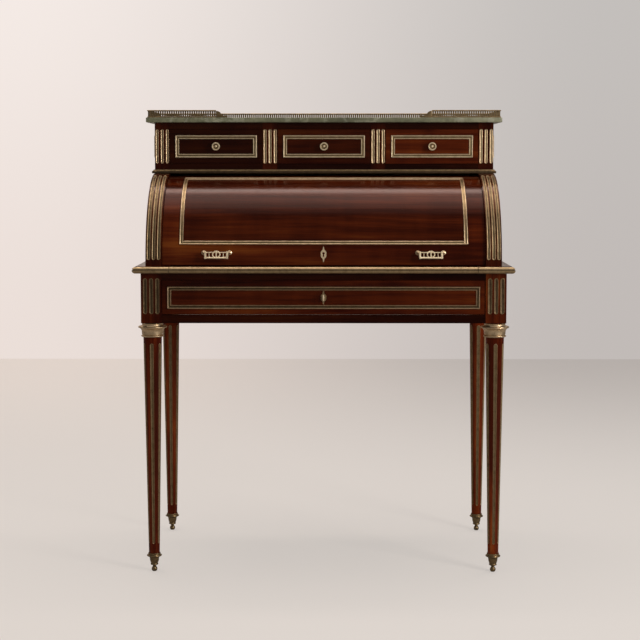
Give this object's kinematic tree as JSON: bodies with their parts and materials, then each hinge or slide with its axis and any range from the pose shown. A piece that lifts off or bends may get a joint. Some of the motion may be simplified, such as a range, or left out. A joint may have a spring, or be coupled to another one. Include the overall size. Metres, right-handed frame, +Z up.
{
  "type": "writing desk",
  "caption": "Mahogany cylinder desk on fluted tapering legs, with a roll-back quarter cylinder, pull-out writing slide, drawers, marble top and pierced brass gallery.",
  "frame": {"origin": "on the floor, under the middle of the table top", "axes": "+X to the right seen from the front, +Y towards the back, +Z up"},
  "size_m": [0.92, 0.5, 1.1351],
  "materials": {
    "mahogany": "polished",
    "oak": "waxed",
    "brass": "aged satin",
    "iron": "aged",
    "marble": "honed",
    "leather": "worn"
  },
  "bodies": {
    "root": {"leg_front_left": "mahogany", "leg_front_right": "mahogany", "leg_back_left": "mahogany", "leg_back_right": "mahogany", "leg_capitals": "brass", "leg_sabots": "brass", "leg_flute_linings": "brass", "post_flute_linings": "brass", "apron_boards": "mahogany", "front_rails": "mahogany", "drawer_runners": "oak", "side_frame_mouldings": "brass", "top_fixed_boards": "mahogany", "top_edge_moulding": "brass", "cheek_left": "mahogany", "cheek_right": "mahogany", "cheek_flute_linings": "brass", "back_panels": "oak", "upper_floor": "mahogany", "upper_sides": "mahogany", "upper_drawer_bed": "oak", "upper_top_board": "oak", "upper_dividers": "oak", "pilasters": "mahogany", "pilaster_flute_linings": "brass", "ledge_moulding": "brass", "marble_top": "marble", "gallery": "brass", "inner_nest": "mahogany"},
    "cylinder": {"cylinder_shell": "mahogany", "cylinder_arms": "iron", "cylinder_moulding": "brass", "cylinder_escutcheon": "brass", "cylinder_lock": "iron", "handle_posts": "brass"},
    "bail_left": {"bail_left": "brass"},
    "bail_right": {"bail_right": "brass"},
    "slide": {"slide_board": "mahogany", "slide_leather": "leather", "slide_edge_moulding": "brass"},
    "apron_drawer": {"apron_drawer_front": "mahogany", "apron_drawer_box": "oak", "apron_drawer_moulding": "brass", "apron_drawer_escutcheon": "brass", "apron_drawer_lock": "iron"},
    "drawer_bolt": {"drawer_bolt": "iron"},
    "drawer_key": {"drawer_key": "iron"},
    "upper_drawer_left": {"upper_drawer_left_front": "mahogany", "upper_drawer_left_box": "oak", "upper_drawer_left_mounts": "brass"},
    "upper_drawer_middle": {"upper_drawer_middle_front": "mahogany", "upper_drawer_middle_box": "oak", "upper_drawer_middle_mounts": "brass"},
    "upper_drawer_right": {"upper_drawer_right_front": "mahogany", "upper_drawer_right_box": "oak", "upper_drawer_right_mounts": "brass"},
    "inner_drawer_left": {"inner_drawer_left": "mahogany", "inner_drawer_left_knob": "brass"},
    "inner_drawer_right": {"inner_drawer_right": "mahogany", "inner_drawer_right_knob": "brass"}
  },
  "joints": [
    {"name": "cylinder_turn", "type": "hinge", "parent": "root", "child": "cylinder", "pos_m": [0, 0, 0.76], "axis": [-1, 0, 0], "range_deg": [0, 75]},
    {"name": "writing_slide", "type": "slide", "parent": "root", "child": "slide", "axis": [0, -1, 0], "range_m": [0, 0.215]},
    {"name": "apron_drawer_slide", "type": "slide", "parent": "root", "child": "apron_drawer", "axis": [0, -1, 0], "range_m": [0, 0.25]},
    {"name": "upper_drawer_left_slide", "type": "slide", "parent": "root", "child": "upper_drawer_left", "axis": [0, -1, 0], "range_m": [0, 0.16]},
    {"name": "upper_drawer_middle_slide", "type": "slide", "parent": "root", "child": "upper_drawer_middle", "axis": [0, -1, 0], "range_m": [0, 0.16]},
    {"name": "upper_drawer_right_slide", "type": "slide", "parent": "root", "child": "upper_drawer_right", "axis": [0, -1, 0], "range_m": [0, 0.16]},
    {"name": "inner_drawer_left_slide", "type": "slide", "parent": "root", "child": "inner_drawer_left", "axis": [0, -1, 0], "range_m": [0, 0.1]},
    {"name": "inner_drawer_right_slide", "type": "slide", "parent": "root", "child": "inner_drawer_right", "axis": [0, -1, 0], "range_m": [0, 0.1]},
    {"name": "bail_left_swing", "type": "hinge", "parent": "cylinder", "child": "bail_left", "pos_m": [-0.259, -0.22052, 0.78561], "axis": [-1, 0, 0], "range_deg": [0, 70]},
    {"name": "bail_right_swing", "type": "hinge", "parent": "cylinder", "child": "bail_right", "pos_m": [0.259, -0.22052, 0.78561], "axis": [-1, 0, 0], "range_deg": [0, 70]},
    {"name": "key_turn", "type": "hinge", "parent": "apron_drawer", "child": "drawer_key", "pos_m": [0, -0.2, 0.677], "axis": [0, 1, 0], "range_deg": [0, 180]},
    {"name": "bolt_lift", "type": "slide", "parent": "apron_drawer", "child": "drawer_bolt", "axis": [0, 0, 1], "range_m": [0, 0.006]}
  ],
  "couplings": [
    {"joint": "key_turn", "follows": "bolt_lift", "rad_per_m": 523.6}
  ]
}
